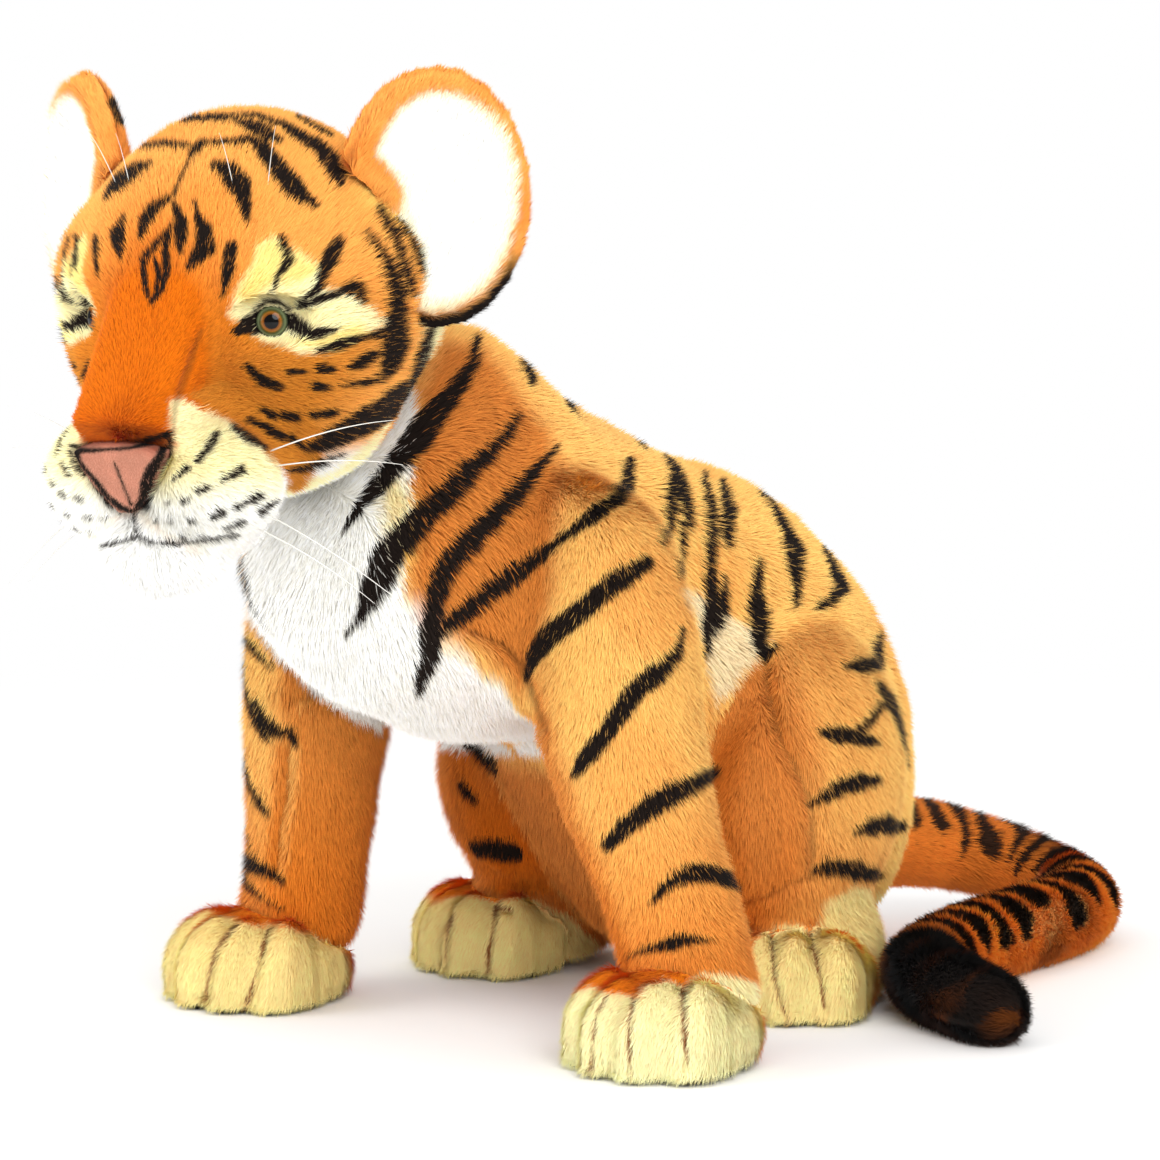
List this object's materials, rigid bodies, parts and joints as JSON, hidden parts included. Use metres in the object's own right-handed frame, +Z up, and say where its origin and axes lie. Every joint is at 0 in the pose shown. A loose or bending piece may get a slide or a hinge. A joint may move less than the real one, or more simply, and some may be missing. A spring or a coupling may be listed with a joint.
{
  "type": "plush tiger cub",
  "caption": "Seated plush tiger cub: stuffed body on straight forelegs and folded hind legs, round head that turns, cupped ears that fold, tail curled along one side.",
  "frame": {"origin": "on the middle plane, at the flat underside of the rump that the tiger sits on", "axes": "+Z up, the tiger looks along -Y, and its own left side is +X"},
  "size_m": [0.3743, 0.637, 0.4245],
  "materials": {
    "orange_plush": "short plush pile, orange-tan with dark stripes",
    "bridge_plush": "very short clipped pile, deep orange",
    "cream_plush": "short plush pile, cream",
    "white_plush": "short plush pile, warm white",
    "dark_plush": "short plush pile, near black",
    "nose_velour": "smooth velour, pink with a dark edge",
    "eye_dome": "clear domed plastic over a painted iris",
    "eye_washer": "moulded locking washer",
    "whisker_nylon": "stiff clear-white thread"
  },
  "bodies": {
    "torso": {"torso": "orange_plush", "chest_panel": "white_plush", "front_leg_left": "orange_plush", "front_paw_left": "cream_plush", "front_sole_left": "dark_plush", "thigh_left": "orange_plush", "hind_foot_left": "orange_plush", "hind_paw_left": "cream_plush", "hind_sole_left": "dark_plush", "front_leg_right": "orange_plush", "front_paw_right": "cream_plush", "front_sole_right": "dark_plush", "thigh_right": "orange_plush", "hind_foot_right": "orange_plush", "hind_paw_right": "cream_plush", "hind_sole_right": "dark_plush"},
    "head": {"head": "orange_plush", "nose_bridge": "bridge_plush", "nose": "nose_velour", "muzzle_left": "cream_plush", "muzzle_right": "cream_plush", "chin": "white_plush", "eye_left": "eye_dome", "eye_washer_left": "eye_washer", "whisker_cheek_1_left": "whisker_nylon", "whisker_cheek_2_left": "whisker_nylon", "whisker_cheek_3_left": "whisker_nylon", "whisker_cheek_4_left": "whisker_nylon", "whisker_brow_1_left": "whisker_nylon", "whisker_brow_2_left": "whisker_nylon", "eye_right": "eye_dome", "eye_washer_right": "eye_washer", "whisker_cheek_1_right": "whisker_nylon", "whisker_cheek_2_right": "whisker_nylon", "whisker_cheek_3_right": "whisker_nylon", "whisker_cheek_4_right": "whisker_nylon", "whisker_brow_1_right": "whisker_nylon", "whisker_brow_2_right": "whisker_nylon"},
    "ear_left": {"ear_back_left": "orange_plush", "ear_lining_left": "white_plush"},
    "ear_right": {"ear_back_right": "orange_plush", "ear_lining_right": "white_plush"},
    "tail_base": {"tail_base": "orange_plush"},
    "tail_middle": {"tail_middle": "orange_plush"},
    "tail_tip": {"tail_tip": "dark_plush"}
  },
  "joints": [
    {"name": "head_turn", "type": "hinge", "parent": "torso", "child": "head", "pos_m": [0, -0.315, 0.328], "axis": [0, 0, 1], "range_deg": [-26, 10], "stiffness_Nm_per_rad": 0.8},
    {"name": "ear_left_fold", "type": "hinge", "parent": "head", "child": "ear_left", "pos_m": [0.06358, -0.30324, 0.35388], "axis": [-0.3505, -0.2548, 0.9012], "range_deg": [-18, 12], "stiffness_Nm_per_rad": 0.15},
    {"name": "ear_right_fold", "type": "hinge", "parent": "head", "child": "ear_right", "pos_m": [-0.06436, -0.32122, 0.35388], "axis": [0.4072, -0.1483, 0.9012], "range_deg": [-12, 18], "stiffness_Nm_per_rad": 0.15},
    {"name": "tail_root", "type": "hinge", "parent": "torso", "child": "tail_base", "pos_m": [0, 0.097, 0.0499], "axis": [0, 0, 1], "range_deg": [0, 30]},
    {"name": "tail_curl", "type": "hinge", "parent": "tail_base", "child": "tail_middle", "pos_m": [0.0619, 0.2061, 0.023], "axis": [0, 0, 1], "range_deg": [0, 35]},
    {"name": "tail_tip_bend", "type": "hinge", "parent": "tail_middle", "child": "tail_tip", "pos_m": [0.1353, -0.0139, 0.0195], "axis": [0, 0, 1], "range_deg": [-25, 25]}
  ]
}
